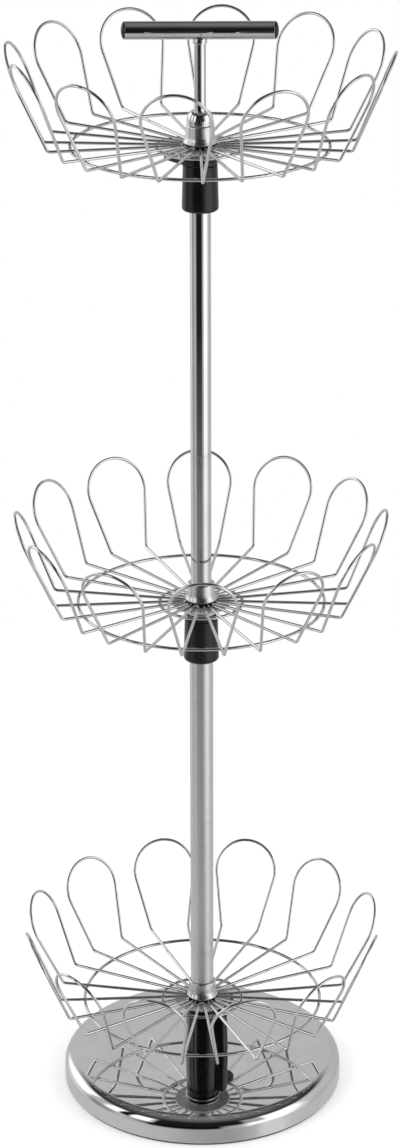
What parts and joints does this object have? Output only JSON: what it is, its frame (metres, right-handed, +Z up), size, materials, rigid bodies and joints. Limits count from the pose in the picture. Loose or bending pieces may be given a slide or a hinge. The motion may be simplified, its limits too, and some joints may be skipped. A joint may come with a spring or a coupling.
{
  "type": "rotating shoe tower",
  "caption": "Free-standing chrome tower with revolving wire baskets of upright shoe loops on a telescopic post, over a round weighted base, with a T handle.",
  "frame": {"origin": "on the floor, under the post's axis", "axes": "+Z up along the post, +X along the handle bar, -Y towards the viewer"},
  "size_m": [0.345, 0.345, 1.0493],
  "materials": {
    "polished_chrome": "polished",
    "satin_steel": "satin",
    "black_plastic": "gloss",
    "cast_iron": "rough",
    "zinc_steel": "zinc plated",
    "foam_pad": "matt"
  },
  "bodies": {
    "stand": {"base_shell": "polished_chrome", "base_ballast": "cast_iron", "base_pad": "foam_pad", "base_bolt": "zinc_steel", "tube_plug": "zinc_steel", "lower_tube": "satin_steel", "bottom_sleeve": "black_plastic", "bottom_lower_washer": "polished_chrome", "middle_sleeve": "black_plastic", "middle_lower_washer": "polished_chrome"},
    "upper_post": {"upper_tube": "polished_chrome", "rod_adapter": "black_plastic", "cap_nut": "polished_chrome", "handle_rod": "polished_chrome", "handle_ferrule": "polished_chrome", "handle_bar": "polished_chrome", "handle_end_cap_right": "black_plastic", "handle_end_cap_left": "black_plastic", "top_sleeve": "black_plastic", "top_lower_washer": "polished_chrome"},
    "bottom_basket": {"bottom_petal_pair_1": "polished_chrome", "bottom_petal_pair_2": "polished_chrome", "bottom_petal_pair_3": "polished_chrome", "bottom_petal_pair_4": "polished_chrome", "bottom_petal_pair_5": "polished_chrome", "bottom_petal_pair_6": "polished_chrome", "bottom_outer_ring": "polished_chrome", "bottom_inner_ring": "polished_chrome", "bottom_hub_plate": "zinc_steel", "bottom_hub_bush": "black_plastic", "bottom_upper_washer": "polished_chrome", "bottom_hub_bell": "satin_steel"},
    "bottom_lock": {"bottom_lock_ring": "black_plastic"},
    "middle_basket": {"middle_petal_pair_1": "polished_chrome", "middle_petal_pair_2": "polished_chrome", "middle_petal_pair_3": "polished_chrome", "middle_petal_pair_4": "polished_chrome", "middle_petal_pair_5": "polished_chrome", "middle_petal_pair_6": "polished_chrome", "middle_outer_ring": "polished_chrome", "middle_inner_ring": "polished_chrome", "middle_hub_plate": "zinc_steel", "middle_hub_bush": "black_plastic", "middle_upper_washer": "polished_chrome", "middle_hub_bell": "satin_steel"},
    "middle_lock": {"middle_lock_ring": "black_plastic"},
    "top_basket": {"top_petal_pair_1": "polished_chrome", "top_petal_pair_2": "polished_chrome", "top_petal_pair_3": "polished_chrome", "top_petal_pair_4": "polished_chrome", "top_petal_pair_5": "polished_chrome", "top_petal_pair_6": "polished_chrome", "top_outer_ring": "polished_chrome", "top_inner_ring": "polished_chrome", "top_hub_plate": "zinc_steel", "top_hub_bush": "black_plastic", "top_upper_washer": "polished_chrome", "top_hub_bell": "satin_steel"},
    "top_lock": {"top_lock_ring": "black_plastic"}
  },
  "joints": [
    {"name": "post_telescope", "type": "slide", "parent": "stand", "child": "upper_post", "axis": [0, 0, 1], "range_m": [-0.25, 0]},
    {"name": "bottom_basket_spin", "type": "hinge", "parent": "stand", "child": "bottom_basket", "pos_m": [0, 0, 0.0874], "axis": [0, 0, 1], "continuous": true},
    {"name": "bottom_lock_turn", "type": "hinge", "parent": "stand", "child": "bottom_lock", "pos_m": [0, 0, 0.0724], "axis": [0, 0, 1], "range_deg": [0, 90]},
    {"name": "middle_basket_spin", "type": "hinge", "parent": "stand", "child": "middle_basket", "pos_m": [0, 0, 0.5054], "axis": [0, 0, 1], "continuous": true},
    {"name": "middle_lock_turn", "type": "hinge", "parent": "stand", "child": "middle_lock", "pos_m": [0, 0, 0.4904], "axis": [0, 0, 1], "range_deg": [0, 90]},
    {"name": "top_basket_spin", "type": "hinge", "parent": "upper_post", "child": "top_basket", "pos_m": [0, 0, 0.9394], "axis": [0, 0, 1], "continuous": true},
    {"name": "top_lock_turn", "type": "hinge", "parent": "upper_post", "child": "top_lock", "pos_m": [0, 0, 0.9244], "axis": [0, 0, 1], "range_deg": [0, 90]}
  ]
}
